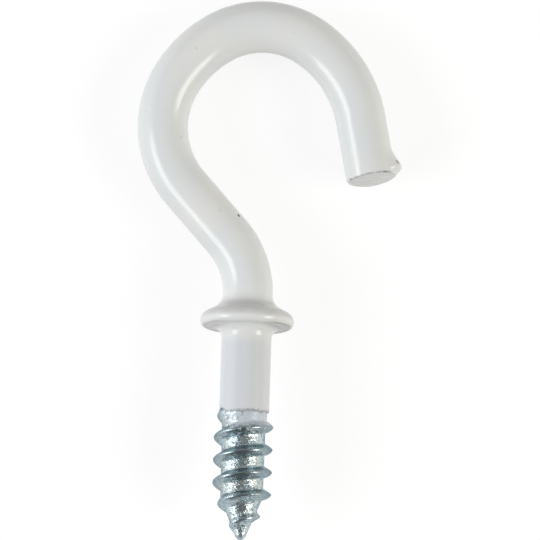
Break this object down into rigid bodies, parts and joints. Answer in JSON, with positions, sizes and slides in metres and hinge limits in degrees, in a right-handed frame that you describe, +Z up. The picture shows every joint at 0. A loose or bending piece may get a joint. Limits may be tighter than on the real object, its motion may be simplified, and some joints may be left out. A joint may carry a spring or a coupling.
{
  "type": "screw hook",
  "caption": "Shouldered screw hook: a white plastic-coated wire hook with a round collar and a bare steel wood-screw thread, lying on its side.",
  "frame": {"origin": "centre of the collar's flat seat, on the axis of the shank", "axes": "+Y along the shank towards the eye, as it lies on a table; +X towards the hook's free end; +Z up"},
  "size_m": [0.0183, 0.038, 0.0065],
  "materials": {
    "steel": "bright zinc-plated steel, lightly pitted and scratched",
    "coating": "glossy white dipped plastic, slightly uneven, ragged at its lower edge"
  },
  "bodies": {
    "root": {"steel_hook": "steel", "plastic_coating": "coating"}
  },
  "joints": []
}
